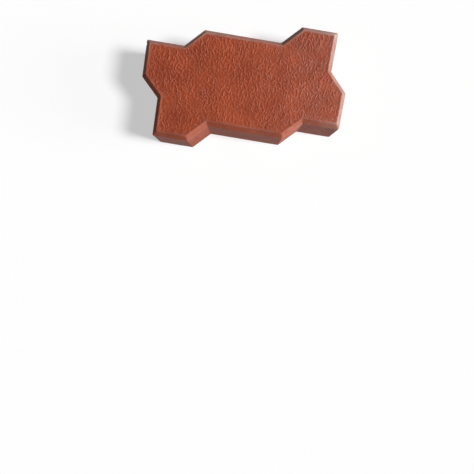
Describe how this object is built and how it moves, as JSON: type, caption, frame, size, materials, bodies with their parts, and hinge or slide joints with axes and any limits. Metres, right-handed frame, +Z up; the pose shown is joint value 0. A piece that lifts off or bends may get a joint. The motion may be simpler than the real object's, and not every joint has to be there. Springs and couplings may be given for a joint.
{
  "type": "concrete paving stone",
  "caption": "Interlocking zigzag paving stone of red concrete, a double-module block with a jog in each side, a chamfered edge and a fine leather-grained wearing face.",
  "frame": {"origin": "middle of the bed face, on the axis about which the outline repeats at half a turn", "axes": "+X along the two pattern modules that the stone covers, +Y across them, +Z up through the wearing face"},
  "size_m": [0.2402, 0.1278, 0.06],
  "materials": {
    "pigmented_concrete": "cast, red-brown pigment through the mass, leather-grained face, smooth chamfer"
  },
  "bodies": {
    "root": {"paving_stone": "pigmented_concrete"}
  },
  "joints": []
}
